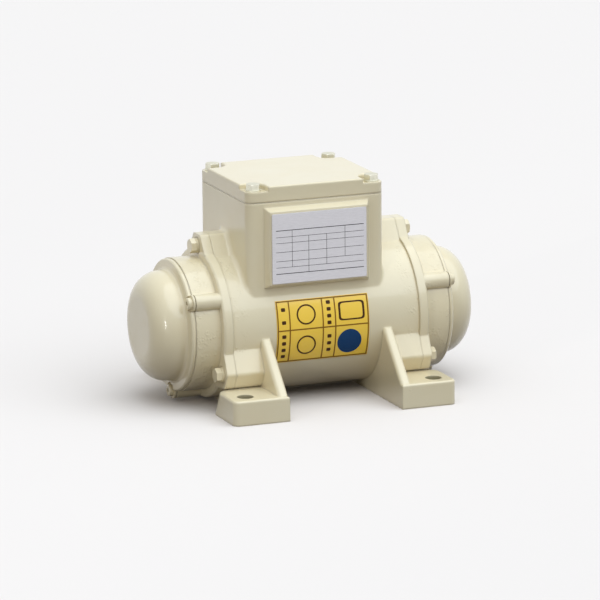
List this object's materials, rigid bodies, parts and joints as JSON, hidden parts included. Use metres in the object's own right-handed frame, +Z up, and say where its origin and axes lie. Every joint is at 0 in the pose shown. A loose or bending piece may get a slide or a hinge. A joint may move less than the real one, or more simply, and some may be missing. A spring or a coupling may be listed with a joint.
{
  "type": "vibration motor",
  "caption": "Foot-mounted single-phase vibration motor: cast barrel with terminal box, bearing brackets, domed end covers and adjustable eccentric weights.",
  "frame": {"origin": "middle of the plane that the feet stand on, below the middle of the shaft", "axes": "+X along the shaft, -Y towards the nameplate, +Z up"},
  "size_m": [0.2134, 0.154, 0.1399],
  "materials": {
    "paint": "gloss enamel over casting",
    "cover_paint": "gloss enamel",
    "screw_paint": "gloss enamel over steel",
    "plate": "satin printed aluminium",
    "sticker": "printed film",
    "gasket": "matt rubber",
    "seal_rubber": "matt rubber",
    "lamination": "stacked steel sheet",
    "copper": "varnished copper",
    "shaft_steel": "ground steel",
    "bearing_steel": "polished steel",
    "cage_plastic": "moulded polyamide",
    "cast_cage": "cast aluminium",
    "weight_steel": "flame cut steel plate",
    "zinc": "zinc plated",
    "gland_plastic": "moulded polyamide",
    "block_plastic": "moulded phenolic",
    "can": "drawn aluminium can",
    "brass": "nickel free brass",
    "wire": "insulated wire"
  },
  "bodies": {
    "motor": {"motor_housing": "paint", "terminal_box_lid": "paint", "lid_gasket": "gasket", "lid_screws": "screw_paint", "nameplate": "plate", "barrel_label": "sticker", "stator_core": "lamination", "stator_winding": "copper", "cable_gland_body": "gland_plastic", "cable_gland_seal": "seal_rubber", "cable_gland_nut": "gland_plastic", "cable_gland_locknut": "gland_plastic", "run_capacitor": "can", "capacitor_clip": "zinc", "terminal_block": "block_plastic", "terminal_screws": "brass", "earth_screw": "zinc", "lead_grommet": "seal_rubber", "lead_wires": "wire", "bearing_bracket_left": "paint", "bearing_bracket_right": "paint", "bracket_washers_left": "screw_paint", "bracket_washers_right": "screw_paint", "bracket_spring_washers_left": "screw_paint", "bracket_spring_washers_right": "screw_paint", "bracket_bolts_left": "screw_paint", "bracket_bolts_right": "screw_paint", "weight_cover_left": "cover_paint", "weight_cover_right": "cover_paint", "cover_seal_left": "gasket", "cover_seal_right": "gasket", "cover_screws_left": "screw_paint", "cover_screws_right": "screw_paint", "bearing_outer_ring_left": "bearing_steel", "bearing_outer_ring_right": "bearing_steel", "disc_spring_left": "shaft_steel", "disc_spring_right": "shaft_steel", "shaft_seal_left": "seal_rubber", "shaft_seal_right": "seal_rubber"},
    "rotor": {"rotor_shaft": "shaft_steel", "rotor_core": "lamination", "rotor_cage": "cast_cage", "weight_keys": "shaft_steel", "retaining_rings": "zinc", "fixed_weight_left": "weight_steel", "fixed_weight_right": "weight_steel", "bearing_inner_ring_left": "bearing_steel", "bearing_inner_ring_right": "bearing_steel"},
    "moving_weight_left": {"moving_weight_left": "weight_steel", "clamp_bolt_left": "zinc"},
    "balls_left": {"bearing_balls_left": "bearing_steel", "ball_cage_left": "cage_plastic"},
    "moving_weight_right": {"moving_weight_right": "weight_steel", "clamp_bolt_right": "zinc"},
    "balls_right": {"bearing_balls_right": "bearing_steel", "ball_cage_right": "cage_plastic"}
  },
  "joints": [
    {"name": "rotor_spin", "type": "hinge", "parent": "motor", "child": "rotor", "pos_m": [0, 0, 0.0485], "axis": [1, 0, 0], "continuous": true},
    {"name": "moving_weight_left_set", "type": "hinge", "parent": "rotor", "child": "moving_weight_left", "pos_m": [-0.09045, 0, 0.0485], "axis": [1, 0, 0], "range_deg": [0, 180]},
    {"name": "moving_weight_right_set", "type": "hinge", "parent": "rotor", "child": "moving_weight_right", "pos_m": [0.09045, 0, 0.0485], "axis": [1, 0, 0], "range_deg": [0, 180]},
    {"name": "ball_set_left_roll", "type": "hinge", "parent": "motor", "child": "balls_left", "pos_m": [-0.0649, 0, 0.0485], "axis": [1, 0, 0], "continuous": true},
    {"name": "ball_set_right_roll", "type": "hinge", "parent": "motor", "child": "balls_right", "pos_m": [0.0649, 0, 0.0485], "axis": [1, 0, 0], "continuous": true}
  ],
  "couplings": [
    {"joint": "ball_set_left_roll", "follows": "rotor_spin", "ratio": 0.3846},
    {"joint": "ball_set_right_roll", "follows": "rotor_spin", "ratio": 0.3846}
  ]
}
